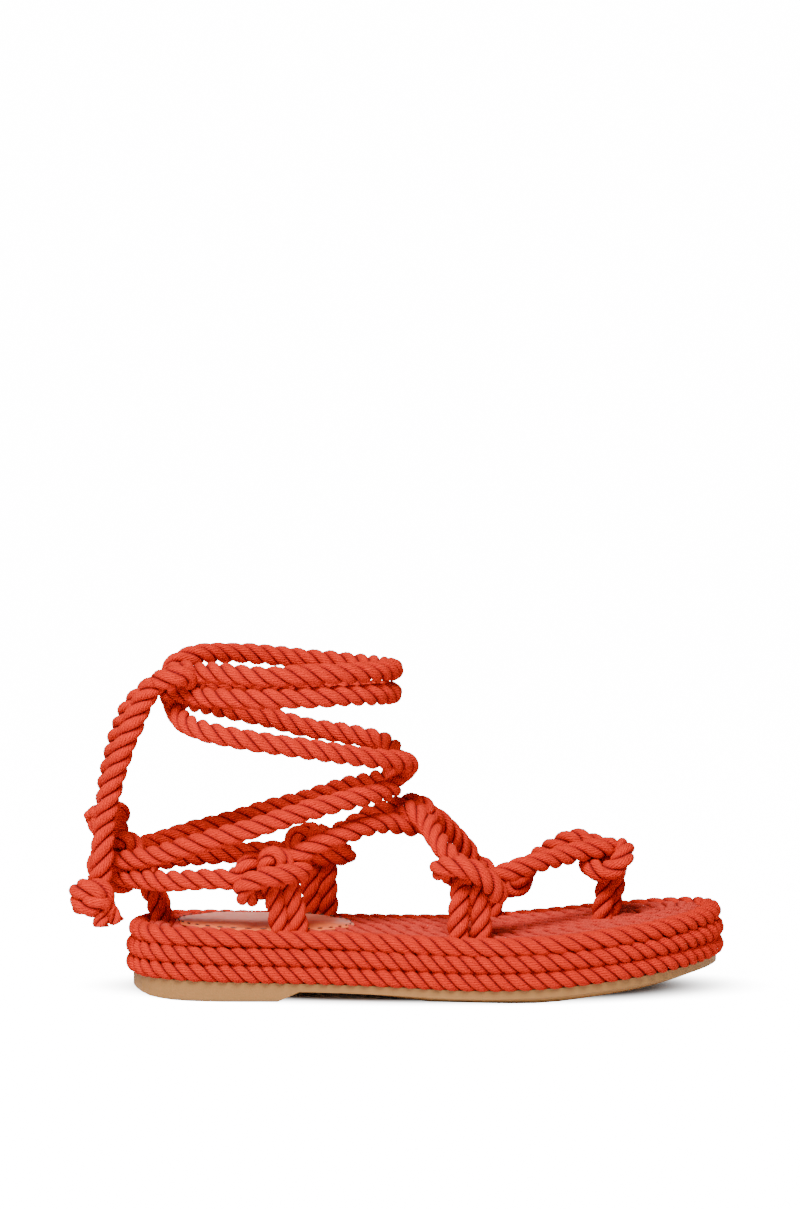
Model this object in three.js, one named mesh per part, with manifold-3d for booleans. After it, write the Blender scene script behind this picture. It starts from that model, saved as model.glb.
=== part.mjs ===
// A rope sandal for the right foot, standing empty on its sole.
// Millimetres. +X runs from heel to toe, +Y to the inner (medial) side, +Z up.
// The origin is on the floor, in the middle of the heel's flat tread.

import * as THREE from "three";
import Module from "manifold-3d";

// Sole sizes

const soleLength = 262;
const ballWidth = 92;
const treadThickness = 3.6;
const forefootSeat = 6.4;
const heelDrop = 3.1;
const toeSpring = 9.4;
const rowPitch = 7.3;
const rowCount = 3;
const outsoleInset = 2.3;
const treadBevel = 7;
const treadCrown = 3.4;
const grooveDepth = 1.2;
const bedDrop = 0.3;
const heelRest = 44.5;

// Heel sock sizes

const sockLength = 77;
const sockWidth = 42.5;
const sockThickness = 1.4;
const sockSeat = 0.8;

// Rope sizes

const ropeDiameter = 8.5;
const legDepth = 5.4;
const tieRise = 112;
const stopperTurn = 6.2;
const stopperDepth = 3.4;
const frayLength = 11;

// Gap between two pieces that meet

const clearance = 0.3;
const knotClearance = 0.7;

// How finely curves are cut into flat faces

const soleSteps = 34;
const sockSteps = 16;
const ropeSides = 8;
const ropeStep = 8;
const ringStep = 11;
const knotStep = 5;
const tailStep = 17;
const lengthSteps = 3;
const shortestEdge = 0.05;
const touchGap = 0.03;

const halfBall = ballWidth / 2;
const ropeRadius = ropeDiameter / 2;
const rowHeight = rowPitch - clearance;
const rowRadius = rowHeight / 2;

const wasm = await Module();
wasm.setup();

// Plan outline of the sole: percent of the sole length, percent of half the ball width

const outlineColumns = { along: 0, across: 1 };
const outlineRows = [
  [0, 0], [1, -26], [3.4, -49], [7.6, -65], [14.5, -75], [23.7, -76], [34.4, -77], [43.9, -83],
  [53.4, -92], [62.2, -99], [70.6, -100], [78.2, -93], [85.5, -78], [91.6, -55], [96.2, -27],
  [98.9, 0], [100, 28], [99, 57], [96.2, 78], [91.6, 92], [84.7, 101], [76.3, 102], [68.7, 96],
  [61.1, 86], [53.4, 75], [44.7, 66], [34.4, 63], [23.7, 68], [14.5, 71], [7.6, 64], [3.4, 49], [1, 26],
];

// Side profile of the sole: share of the length, then shares of the heel drop, the toe spring,
// the full block under the heel and the crown of the tread

const profileColumns = { along: 0, heel: 1, toe: 2, block: 3, crown: 4 };
const profileRows = [
  [0, 1, 0, 0.25, 0],
  [0.02, 0.99, 0, 0.62, 0],
  [0.04, 0.97, 0, 0.84, 0],
  [0.065, 0.96, 0, 0.95, 0],
  [0.09, 0.94, 0, 1, 0],
  [0.15, 0.84, 0, 1, 0],
  [0.254, 0.64, 0, 1, 0],
  [0.29, 0.58, 0, 0, 0],
  [0.36, 0.47, 0, 0, 0.1],
  [0.46, 0.25, 0, 0, 0.6],
  [0.53, 0.06, 0, 0, 1],
  [0.58, 0, 0.01, 0, 1],
  [0.63, 0, 0.04, 0, 1],
  [0.71, 0, 0.16, 0, 1],
  [0.78, 0, 0.34, 0, 0.9],
  [0.86, 0, 0.56, 0, 0.8],
  [0.935, 0, 0.78, 0, 0.6],
  [1, 0, 1, 0, 0.5],
];
const breastShares = [0.254, 0.29];

function tableValue(rows, columns, name, share) {
  const last = rows.length - 1;
  let step = 0;
  while (step < last - 1 && rows[step + 1][columns.along] < share) step += 1;
  const from = rows[step];
  const to = rows[step + 1];
  const part = (share - from[columns.along]) / (to[columns.along] - from[columns.along]);
  const held = Math.min(Math.max(part, 0), 1);
  return THREE.MathUtils.lerp(from[columns[name]], to[columns[name]], held);
}

const profile = (name, share) => tableValue(profileRows, profileColumns, name, share);

// Heights along the sole, all above the floor

function seatHeight(share) {
  return forefootSeat + heelDrop * profile("heel", share) + toeSpring * profile("toe", share);
}

function edgeUnderside(share) {
  return (seatHeight(share) - clearance - treadThickness) * (1 - profile("block", share));
}

function treadUnderside(share) {
  return Math.max(edgeUnderside(share) - treadCrown * profile("crown", share), 0);
}

function bedHeight(share) {
  return seatHeight(share) + (rowCount - 1) * rowPitch + rowHeight - bedDrop;
}

const heelBed = bedHeight(0);

// Closed solids from rings of points

function solidFrom(points, triangles) {
  const vertProperties = new Float32Array(points.flatMap((point) => point.toArray()));
  const triVerts = new Uint32Array(triangles.flat());
  return new wasm.Manifold(new wasm.Mesh({ numProp: 3, vertProperties, triVerts }));
}

// A plan outline holds its rear point, its lateral side, its front point and its medial side.
// Rings stack from the lowest to the highest, and strips across the plan close both ends.

function stackRings(rings) {
  const count = rings[0].length;
  const half = count / 2;
  const points = rings.flat();
  const triangles = [];
  for (let ring = 0; ring < rings.length - 1; ring += 1) {
    for (let i = 0; i < count; i += 1) {
      const next = (i + 1) % count;
      const a = ring * count + i;
      const b = ring * count + next;
      triangles.push([a, b, b + count], [a, b + count, a + count]);
    }
  }
  const top = (rings.length - 1) * count;
  for (let i = 0; i < half; i += 1) {
    const lateral = [i, i + 1];
    const medial = [(count - i) % count, count - i - 1];
    const quad = [lateral[0], lateral[1], medial[1], medial[0]];
    if (i > 0) {
      triangles.push([quad[0], quad[3], quad[2]]);
      triangles.push([top + quad[0], top + quad[2], top + quad[3]]);
    }
    if (i < half - 1) {
      triangles.push([quad[0], quad[2], quad[1]]);
      triangles.push([top + quad[0], top + quad[1], top + quad[2]]);
    }
  }
  return solidFrom(points, triangles);
}

function insetOutline(outline, inset) {
  const count = outline.length;
  return outline.map((point, i) => {
    const before = outline[(i + count - 1) % count];
    const after = outline[(i + 1) % count];
    const along = after.clone().sub(before).normalize();
    return new THREE.Vector2(point.x - along.y * inset, point.y + along.x * inset);
  });
}

function ringAt(outline, inset, height) {
  return insetOutline(outline, inset).map(
    (point) => new THREE.Vector3(point.x, point.y, height(point.x / soleLength)),
  );
}

function cosineShares(steps) {
  return Array.from({ length: steps + 1 }, (_, i) => (1 - Math.cos((Math.PI * i) / steps)) / 2);
}

function soleOutline() {
  const corners = outlineRows.map(
    (row) =>
      new THREE.Vector3(
        (row[outlineColumns.along] / 100) * soleLength,
        (row[outlineColumns.across] / 100) * halfBall,
        0,
      ),
  );
  const curve = new THREE.CatmullRomCurve3(corners, true, "centripetal");
  const fine = curve.getPoints(800);
  fine.pop();
  const rear = fine.reduce((best, point) => (point.x < best.x ? point : best));
  const front = fine.reduce((best, point) => (point.x > best.x ? point : best));
  const onSide = (isLateral, x) => {
    const line = front.y - rear.y;
    const side = fine.filter((point) => {
      const middle = rear.y + (line * (point.x - rear.x)) / (front.x - rear.x);
      return isLateral ? point.y <= middle : point.y >= middle;
    });
    side.sort((a, b) => a.x - b.x);
    let step = 0;
    while (step < side.length - 2 && side[step + 1].x < x) step += 1;
    const part = (x - side[step].x) / (side[step + 1].x - side[step].x);
    return THREE.MathUtils.lerp(side[step].y, side[step + 1].y, part);
  };
  const shares = [...cosineShares(soleSteps).slice(1, -1), ...breastShares];
  shares.sort((a, b) => a - b);
  const xs = shares.map((share) => rear.x + share * (front.x - rear.x));
  return [
    new THREE.Vector2(rear.x, rear.y),
    ...xs.map((x) => new THREE.Vector2(x, onSide(true, x))),
    new THREE.Vector2(front.x, front.y),
    ...xs.toReversed().map((x) => new THREE.Vector2(x, onSide(false, x))),
  ];
}

const outline = soleOutline();

// Outsole: one rubber piece with the heel block, its breast and the toe spring

function makeOutsole() {
  const top = (share) => seatHeight(share) - clearance;
  return stackRings([
    ringAt(outline, outsoleInset + treadBevel, treadUnderside),
    ringAt(outline, outsoleInset, edgeUnderside),
    ringAt(outline, outsoleInset, top),
  ]);
}

// One row of coiled rope: a plate with a half-round edge

function rowRings(row) {
  const angles = [-90, -45, 0, 45, 90];
  return angles.map((degrees) => {
    const angle = THREE.MathUtils.degToRad(degrees);
    const inset = rowRadius * (1 - Math.cos(angle));
    const rise = row * rowPitch + rowRadius * (1 + Math.sin(angle));
    return ringAt(outline, inset, (share) => seatHeight(share) + rise);
  });
}

function makeRow(row) {
  return stackRings(rowRings(row));
}

// The top row has a groove inside its rim and a bed for the foot

function makeFootbed() {
  const groove = (share) => bedHeight(share) - grooveDepth;
  return stackRings([
    ...rowRings(rowCount - 1),
    ringAt(outline, 2 * rowRadius, groove),
    ringAt(outline, 3 * rowRadius, bedHeight),
  ]);
}

// Heel sock: an oval leather pad that lies in a shallow seat in the bed

const sockMiddle = 0.23 * soleLength;

function sockSolid(grow, from, to) {
  const shares = cosineShares(sockSteps).slice(1, -1);
  const halfLength = sockLength / 2 + grow;
  const halfWidth = sockWidth / 2 + grow;
  const side = (sign) => (share) => {
    const reach = 2 * share - 1;
    return new THREE.Vector2(sockMiddle + reach * halfLength, sign * halfWidth * Math.sqrt(1 - reach ** 2));
  };
  const plan = [
    new THREE.Vector2(sockMiddle - halfLength, 0),
    ...shares.map(side(-1)),
    new THREE.Vector2(sockMiddle + halfLength, 0),
    ...shares.toReversed().map(side(1)),
  ];
  const level = (rise) => ringAt(plan, 0, (share) => bedHeight(share) + rise);
  return stackRings([level(from), level(to)]);
}

// Rope routes: percent of the sole length, percent of half the ball width, and percent of the
// tie's rise above the bed. A row that says foot stands in the sole.

const foot = null;

const routes = {
  frontRope: [
    [55.7, 58, 11.4], [58.2, 53, 10.5], [59.4, 60, 13.3], [58.2, 63, 17.5], [57.4, 58, 22.6], [55.8, 49, 28.3],
    [53.9, 38, 33.7], [51.9, 26, 38.7], [49.7, 15, 42], [46.8, 4, 43.3], [48.1, -9, 42.9], [50, -22, 39.7],
    [51.5, -41, 35.3], [53.1, -59, 30.8], [55.3, -68, 26.2], [58, -64, 21.6], [60.6, -62, 17],
    [61.7, -73, 14.6], [60.5, -87, 20.2], [57.4, -92, 25.2], [54.2, -87, 26.4], [52.2, -75, 24.6],
    [53.8, -59, 21.7], [57.2, -55, 18.7], [59.9, -60, 19.4], [62.4, -57, 21.2], [65.5, -48, 23.4],
    [68.9, -36, 25.1], [72.3, -22, 26.3], [75.9, -11, 28], [79.1, -5, 28.9], [81.2, 6, 27.9], [81.4, 20, 24.7],
    [80.1, 27, 21.5], [78.2, 20, 21.1], [77.4, 6, 21.9], [77.9, -9, 21.2], [79.6, -14, 19.9],
    [81.8, -14, 21.9], [83.1, -8, 25.9], [83.2, 5, 27.9], [82, 18, 27.6], [79.7, 26, 27.9], [77.4, 28, 29.4],
    [74.9, 31, 30.5], [72.4, 36, 27.8], [69.7, 46, 23.3], [67.1, 60, 16.5], [65.9, 71, 9], [63.2, 81, 8.8],
    [59.3, 84, 13.5], [55.9, 76, 15.5], [55.2, 62, 11.9],
  ],
  rearRope: [
    [-1.1, 11, 20.5], [-2.1, -2, 19.6], [0, -13, 17.9], [3.3, -29, 18], [7, -43, 18], [10.4, -53, 19],
    [14.6, -60, 19.8], [17.5, -62, 19.9], [19.2, -63, 21.5], [20.2, -60, 24.9], [21.3, -53, 26.4],
    [22.4, -46, 23.3], [22.9, -44, 16.9], [21.6, -50, 13.4], [20.2, -61, 13.2], [19.9, -70, 17.3],
    [21.3, -75, 19.9], [24.1, -77, 21.6], [27.2, -72, 22.4], [29.6, -57, 22.4], [27.6, -43, 20.8],
    [24.4, -40, 22.2], [23.4, -43, 25.5], [25.3, -47, 27.3], [28.4, -55, 28.9], [32.8, -52, 33.5],
    [37, -43, 36.9], [41.2, -29, 39.3], [43.9, -18, 39.3], [46.6, -9, 37.9], [49.2, 2, 37.5], [50.4, 13, 41.1],
    [48.7, 21, 45.1], [46.6, 24, 44.6], [44.7, 28, 43.1], [41.4, 39, 40.2], [37, 48, 34.4], [33.6, 53, 30.4],
    [30.5, 58, 31.7], [27.9, 53, 29.9], [29, 41, 25], [33.2, 39, 23.2], [36.6, 50, 23.2], [34.4, 67, 23.2],
    [30.2, 71, 23.2], [26.7, 65, 24.1], [23.2, 62, 24], [16.6, 61, 23.2], [9.8, 53, 22.5], [4.9, 39, 21.6],
    [0.8, 20, 21.1], [-3.1, 7, 20.5], [-3.8, -4, 21.4],
  ],
  toeLoop: [
    [79.2, 3, foot], [79.8, 3, 7.1], [80.2, 4, 14.3], [80, 7, 22.3], [80.8, 10, 26.3], [81.7, 11, 22.3],
    [81.8, 12, 14.3], [81.3, 14, 7.1], [80.8, 14, foot],
  ],
  frontLateralLoop: [
    [55.2, -74, foot], [55.3, -74, 7.8], [55.5, -73, 13.2], [56, -69, 17.6], [57.2, -66, 20.5],
    [58.2, -68, 17.5], [58.7, -72, 13.1], [59, -73, 7.7], [59, -73, foot],
  ],
  frontMedialLoop: [
    [57.6, 67, foot], [57.6, 67, 7], [58.1, 67, 13], [59.4, 67, 18], [60.7, 67, 13], [61.4, 67, 7],
    [61.5, 67, foot],
  ],
  rearLateralLoop: [
    [26, -58, foot], [25.3, -58, 7.6], [24.5, -59, 15.5], [23.8, -61, 21.8], [23.7, -63, 27],
    [24.7, -64, 29.4], [26, -64, 28.2], [26.8, -61, 22.6], [27.4, -57, 16.1], [28.3, -56, 8.2],
    [28.9, -55, foot],
  ],
  rearMedialLoop: [
    [30.9, 50, foot], [30.7, 50, 3], [30.5, 50, 9.8], [30.5, 51, 17], [30.9, 51, 24.2], [32.1, 51, 32.2],
    [33.3, 51, 29], [33.8, 51, 17], [33.9, 50, 9.8], [33.9, 50, 3], [33.9, 50, foot],
  ],
  heelLoop: [
    [5.8, 6, foot], [4.8, 5, 6.5], [3.5, 4, 12.5], [1.8, 3, 16.2], [-0.2, 1, 15.1], [-2.3, 0, 14.4],
    [-4.2, 0, 17.1], [-5.2, 2, 23.3], [-3.3, 4, 29.5], [-0.3, 7, 31.4], [1.5, 9, 26.9], [2.4, 12, 20],
    [3.9, 16, 13], [5.2, 21, 5.6], [6.2, 25, foot],
  ],
  innerTie: [
    [-3.2, 2, 22.3], [-1.7, -10, 23.7], [1.3, -24, 25.4], [5.9, -41, 28.3], [10.3, -54, 32], [14.7, -63, 35.5],
    [19.1, -68, 38.4], [24.2, -70, 42.2], [30.2, -66, 46.6], [36.5, -55, 50], [41.4, -36, 51.8],
    [44.3, -11, 53.1], [45, 9, 58.5], [44.8, 26, 64.7], [42.6, 43, 68.6], [36.3, 62, 71.1], [29.8, 68, 73.2],
    [23, 70, 77.2], [15.5, 62, 81.1], [11.2, 42, 84.4], [8.4, 20, 86.9], [7.1, -2, 88.7], [9.2, -22, 90.4],
    [13, -38, 89.6], [17.7, -57, 89.7], [23.9, -68, 90.2], [30.3, -68, 90.5], [36.6, -59, 90.9],
    [41.6, -39, 90.6], [44.3, 0, 89.7], [41.6, 39, 90], [36.3, 61, 90.4], [29.8, 68, 90.9], [23.1, 67, 91.3],
    [17, 55, 91.1], [12.6, 34, 90.6], [9.9, 11, 93.3], [9.2, -7, 95.5],
  ],
  outerTie: [
    [-1, -4, 23.2], [-1.5, 8, 23.7], [0.8, 26, 26.6], [4.8, 45, 29.3], [9.7, 59, 33.4], [16.6, 67, 37.4],
    [23.1, 70, 40.5], [29.8, 67, 43.9], [36.3, 57, 48.8], [41.8, 34, 53.2], [45.4, 12, 57.1], [47.1, -7, 61.6],
    [45.8, -26, 64], [42.7, -43, 65.5], [36.6, -60, 68.2], [30.2, -67, 70.8], [23.9, -70, 73],
    [17.6, -67, 75.4], [14.7, -63, 76.7], [11.9, -52, 78.2], [9.8, -37, 79.9], [8.5, -20, 82.7],
    [7.7, 0, 86.1], [6.7, 17, 91.7], [7.6, 28, 99.4], [10.7, 34, 103], [17, 58, 103.2], [21.8, 67, 102.4],
    [29.8, 70, 100.4], [37, 59, 99.4], [42, 37, 98.9], [44.5, 0, 98.9], [42, -38, 99.5], [36.6, -61, 99.8],
    [30.3, -70, 99.6], [23.9, -68, 98.6], [19.3, -61, 99.1], [14.7, -46, 99.5], [11.7, -33, 98.8],
  ],
  lateralTail: [
    [5.6, -46, 95.8], [4.6, -44, 93.8], [3.6, -42, 90.2], [2.7, -41, 86.3], [1.8, -40, 81.9], [1, -39, 77.2],
    [0.1, -38, 72.5], [-0.7, -36, 66.9], [-1.5, -34, 61.4], [-2.2, -32, 55.4], [-2.8, -31, 49.5],
    [-3.3, -31, 43.2], [-3.7, -32, 37], [-3.8, -34, 31.2], [-3.9, -36, 25.5], [-4.2, -37, 20],
    [-4.6, -36, 16.1],
  ],
  medialTail: [
    [5.8, -15, 94.6], [4.3, -16, 92.7], [3, -16, 90.3], [1.7, -14, 87.1], [0.4, -11, 83], [-0.4, -6, 78.5],
    [-1.2, -1, 74], [-1.8, 4, 69], [-2.4, 9, 64.1], [-2.9, 13, 59.1], [-3.3, 17, 54.2], [-3.5, 19, 49.7],
    [-3.7, 21, 45.7], [-3.9, 22, 42.4], [-3.9, 22, 40.1],
  ],
};

const knotMiddles = {
  tie: [8.2, -28, 94.3],
  lateral: [-5.4, -35, 11.6],
  medial: [-3.9, 22, 38.4],
};

function place([along, across, up]) {
  const share = along / 100;
  const height = up === foot ? bedHeight(share) - legDepth : heelBed + (up / 100) * tieRise;
  return new THREE.Vector3(share * soleLength, (across / 100) * halfBall, height);
}

// A rope is swept along its route in short lengths, so that it may cross itself

function sweepLength(frames, radius) {
  const points = frames.flatMap(({ at, side, up }) =>
    Array.from({ length: ropeSides }, (_, i) => {
      const angle = (2 * Math.PI * i) / ropeSides;
      return at
        .clone()
        .addScaledVector(side, radius * Math.cos(angle))
        .addScaledVector(up, radius * Math.sin(angle));
    }),
  );
  const triangles = [];
  for (let ring = 0; ring < frames.length - 1; ring += 1) {
    for (let i = 0; i < ropeSides; i += 1) {
      const next = (i + 1) % ropeSides;
      const a = ring * ropeSides + i;
      const b = ring * ropeSides + next;
      triangles.push([a, b, b + ropeSides], [a, b + ropeSides, a + ropeSides]);
    }
  }
  const end = (frames.length - 1) * ropeSides;
  for (let i = 1; i < ropeSides - 1; i += 1) {
    triangles.push([0, i + 1, i], [end, end + i, end + i + 1]);
  }
  return solidFrom(points, triangles);
}

function framesAlong(curve, step, closed) {
  const count = Math.max(Math.round(curve.getLength() / step), 3);
  const { tangents, normals, binormals } = curve.computeFrenetFrames(count, closed);
  return tangents.map((along, i) => ({
    at: curve.getPointAt(i / count),
    along,
    side: normals[i],
    up: binormals[i],
  }));
}

function sweep(curve, step, grow = 0, closed = false) {
  const frames = framesAlong(curve, step, closed);
  if (!closed) {
    frames[0].at.addScaledVector(frames[0].along, -grow);
    frames.at(-1).at.addScaledVector(frames.at(-1).along, grow);
  }
  const lengths = [];
  for (let from = 0; from < frames.length - 1; from += lengthSteps) {
    lengths.push(sweepLength(frames.slice(from, from + lengthSteps + 1), ropeRadius + grow));
  }
  return wasm.Manifold.union(lengths);
}

function rope(rows, step, grow = 0) {
  return sweep(new THREE.CatmullRomCurve3(rows.map(place), false, "centripetal"), step, grow);
}

// Three-lobed knot, the shape that an overhand knot pulls into

class KnotCurve extends THREE.Curve {
  constructor(middle, turn, depth, tilt) {
    super();
    Object.assign(this, { middle, turn, depth, tilt });
  }

  getPoint(share, target = new THREE.Vector3()) {
    const angle = 2 * Math.PI * share;
    const reach = this.turn / 3;
    target.set(
      reach * (Math.sin(angle) + 2 * Math.sin(2 * angle)),
      -this.depth * Math.sin(3 * angle),
      reach * (Math.cos(angle) - 2 * Math.cos(2 * angle)),
    );
    return target.applyAxisAngle(new THREE.Vector3(0, 1, 0), this.tilt).add(this.middle);
  }
}

function knot(name, tilt, grow = 0) {
  const curve = new KnotCurve(place(knotMiddles[name]), stopperTurn, stopperDepth, tilt);
  return sweep(curve, knotStep, grow, true);
}

// The rope's cut end stands out below each stopper knot

function fray(name, lean) {
  const from = place(knotMiddles[name]);
  const to = from.clone().add(new THREE.Vector3(lean, 0, -1).normalize().multiplyScalar(frayLength));
  return sweep(new THREE.LineCurve3(from, to), frayLength / 3);
}

const knotTilts = { tie: 0.5, lateral: 0.2, medial: 0.9 };
const frayLeans = { lateral: 0.55, medial: -0.3 };

const loopNames = [
  "toeLoop",
  "frontLateralLoop",
  "frontMedialLoop",
  "rearLateralLoop",
  "rearMedialLoop",
  "heelLoop",
];

function loops(grow = 0) {
  return wasm.Manifold.union(loopNames.map((name) => rope(routes[name], ropeStep, grow)));
}

function straps(grow = 0) {
  return wasm.Manifold.union([
    loops(grow),
    rope(routes.frontRope, ropeStep, grow),
    rope(routes.rearRope, ropeStep, grow),
  ]);
}

// The outer skin alone, without slivers of a cut or small voids that crossing ropes enclose

function largestBody(solid) {
  return solid.decompose().reduce((best, body) => (body.volume() > best.volume() ? body : best));
}

function makeTies() {
  const both = rope(routes.innerTie, ringStep).add(rope(routes.outerTie, ringStep));
  return both.subtract(straps(knotClearance)).subtract(knot("tie", knotTilts.tie, knotClearance));
}

function stopper(name, grow = 0) {
  return knot(name, knotTilts[name], grow).add(fray(name, frayLeans[name]));
}

function makeTail(route, name) {
  const tail = rope(route, tailStep);
  const free = tail.subtract(knot("tie", knotTilts.tie, knotClearance));
  return free.subtract(stopper(name, knotClearance));
}

// Finished pieces

// Corners that only touch each other are drawn a little into their own solid

function partTouching(geometry) {
  const { position, normal } = geometry.attributes;
  const groups = new Map();
  for (let i = 0; i < position.count; i += 1) {
    const point = new THREE.Vector3().fromBufferAttribute(position, i);
    const key = point.toArray().map((value) => Math.round(value / (touchGap / 2))).join();
    groups.set(key, [...(groups.get(key) ?? []), { i, point }]);
  }
  for (const group of groups.values()) {
    if (group.length === 1) continue;
    for (const { i, point } of group) {
      point.addScaledVector(new THREE.Vector3().fromBufferAttribute(normal, i), -touchGap);
      position.setXYZ(i, point.x, point.y, point.z);
    }
  }
}

function meshFrom(name, solid, material) {
  const { vertProperties, triVerts } = largestBody(solid.simplify(shortestEdge)).getMesh();
  const geometry = new THREE.BufferGeometry();
  geometry.setAttribute("position", new THREE.BufferAttribute(vertProperties, 3));
  geometry.setIndex(new THREE.BufferAttribute(triVerts, 1));
  geometry.computeVertexNormals();
  partTouching(geometry);
  geometry.computeVertexNormals();
  const mesh = new THREE.Mesh(geometry, material);
  mesh.name = name;
  return mesh;
}

const rubber = new THREE.MeshStandardMaterial({ color: 0xc29a6b, roughness: 0.7, metalness: 0 });
const cotton = new THREE.MeshStandardMaterial({ color: 0xdb4526, roughness: 0.9, metalness: 0 });
const leather = new THREE.MeshStandardMaterial({ color: 0xe9a184, roughness: 0.25, metalness: 0 });

const sockets = loops(clearance);
const pocket = sockSolid(clearance, -sockSeat, sockThickness);
const footbed = makeFootbed().subtract(sockets).subtract(pocket);
const sockBottom = clearance - sockSeat;
const sock = sockSolid(0, sockBottom, sockBottom + sockThickness).subtract(sockets);

const sandal = new THREE.Group();
sandal.position.x = -heelRest;
sandal.add(
  meshFrom("outsole", makeOutsole(), rubber),
  meshFrom("coil_lower", makeRow(0), cotton),
  meshFrom("coil_middle", makeRow(1), cotton),
  meshFrom("footbed_coil", footbed, cotton),
  meshFrom("heel_sock", sock, leather),
  meshFrom("upper_straps", straps(), cotton),
  meshFrom("ankle_ties", makeTies(), cotton),
  meshFrom("tie_knot", knot("tie", knotTilts.tie), cotton),
  meshFrom("tie_tail_lateral", makeTail(routes.lateralTail, "lateral"), cotton),
  meshFrom("tie_tail_medial", makeTail(routes.medialTail, "medial"), cotton),
  meshFrom("stopper_knot_lateral", stopper("lateral"), cotton),
  meshFrom("stopper_knot_medial", stopper("medial"), cotton),
);

export default sandal;
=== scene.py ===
# %% [markdown]
# # A rope sandal, told in cells
#
# The solids of this sandal come packed as a frame. Here each of them is dressed as what it is:
# three-strand cotton rope, a leather heel pad and a tan rubber sole. Blender works in metres, while
# a maker speaks in millimetres, so the sizes below stay in millimetres and turn into metres
# at the moment a mesh is made.

import math

import bpy
import numpy as np
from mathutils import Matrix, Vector


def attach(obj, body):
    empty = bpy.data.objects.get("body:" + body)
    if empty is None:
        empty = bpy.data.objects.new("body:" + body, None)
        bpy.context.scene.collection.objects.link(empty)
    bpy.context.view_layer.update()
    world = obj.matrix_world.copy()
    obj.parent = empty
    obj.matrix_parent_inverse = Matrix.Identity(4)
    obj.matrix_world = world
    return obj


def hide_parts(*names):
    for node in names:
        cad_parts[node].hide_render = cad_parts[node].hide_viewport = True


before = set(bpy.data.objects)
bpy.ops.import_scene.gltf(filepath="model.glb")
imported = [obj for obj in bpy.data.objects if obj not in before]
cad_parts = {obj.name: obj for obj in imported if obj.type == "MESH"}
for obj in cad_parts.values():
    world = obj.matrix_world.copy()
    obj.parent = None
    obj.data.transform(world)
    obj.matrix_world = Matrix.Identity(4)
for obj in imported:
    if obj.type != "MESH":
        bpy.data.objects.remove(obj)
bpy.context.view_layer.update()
print("nodes in the frame:", len(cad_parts))

# %% [markdown]
# ## The driving sizes
#
# A rope sole is built up in coils, so nearly every height in it is a number of rope rows. The
# length and the ball's width are the two sizes that a last maker starts from, and the tables
# further on hold shares of them.

# %% Driving sizes, in millimetres
MM = 0.001
SOLE_LENGTH = 262
HALF_BALL = 46
HEEL_REST = 44.5
FOREFOOT_SEAT = 6.4
HEEL_DROP = 3.1
TOE_SPRING = 9.4
ROW_PITCH = 7.3
ROW_COUNT = 3
BED_DROP = 0.6
LOBE_TIP = 4.85
LAY_LENGTH = 22.2
TIE_RISE = 112
LEG_DEPTH = 5.4

UP = np.array([0.0, 0.0, 1.0])


def metres(points):
    """Points in millimetres from the heel's back, as metres in the frame."""
    return (np.asarray(points, float) - [HEEL_REST, 0, 0]) * MM


# %% [markdown]
# ## The camera
#
# The sandal is seen from its outer side by a long lens that looks slightly down, which keeps the
# near and the far rope at nearly the same scale. The lens is set from the distance and from the
# height that the picture covers at the sandal, so the framing stays right if the distance changes.
# PIXEL is the length that one of the picture's 1209 rows covers there, in metres.

# %% Camera
CAMERA_DISTANCE = 2.0
CAMERA_ELEVATION = math.radians(4.6)
TARGET = np.array([0.0751, 0.0, 0.1701])
PIXEL = 0.0004373
PICTURE_HEIGHT = 1209 * PIXEL
SENSOR = 36

camera_data = bpy.data.cameras.new("camera")
camera_data.sensor_width = SENSOR
camera_data.lens = SENSOR * CAMERA_DISTANCE / PICTURE_HEIGHT
camera = bpy.data.objects.new("camera", camera_data)
back = np.array([0.0, -math.cos(CAMERA_ELEVATION), math.sin(CAMERA_ELEVATION)])
camera.location = TARGET + back * CAMERA_DISTANCE
camera.rotation_euler = (math.pi / 2 - CAMERA_ELEVATION, 0, 0)
bpy.context.scene.collection.objects.link(camera)
bpy.context.scene.camera = camera
print("lens:", round(camera_data.lens, 1), "mm")

# %% [markdown]
# ## Expressions that add their own nodes
#
# A finish is a sum of small patterns, and a sum is easier to read as Python than as a web of
# nodes. The class Value wraps one socket, so that an expression such as 1 - mask adds the Math
# nodes it needs. Colours never pass through Math nodes, because those turn them grey.

# %% Shader expressions


class Value:
    """One number that varies over a surface, as the output socket of a node."""

    def __init__(self, finish, socket):
        self.finish = finish
        self.socket = socket

    def _math(self, operation, first, second):
        return self.finish.node("ShaderNodeMath", {"operation": operation}, {0: first, 1: second})

    def __add__(self, other):
        return self._math("ADD", self, other)

    def __sub__(self, other):
        return self._math("SUBTRACT", self, other)

    def __rsub__(self, other):
        return self._math("SUBTRACT", other, self)

    def __mul__(self, other):
        return self._math("MULTIPLY", self, other)

    def __pow__(self, other):
        return self._math("POWER", self, other)

    __radd__ = __add__
    __rmul__ = __mul__


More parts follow.
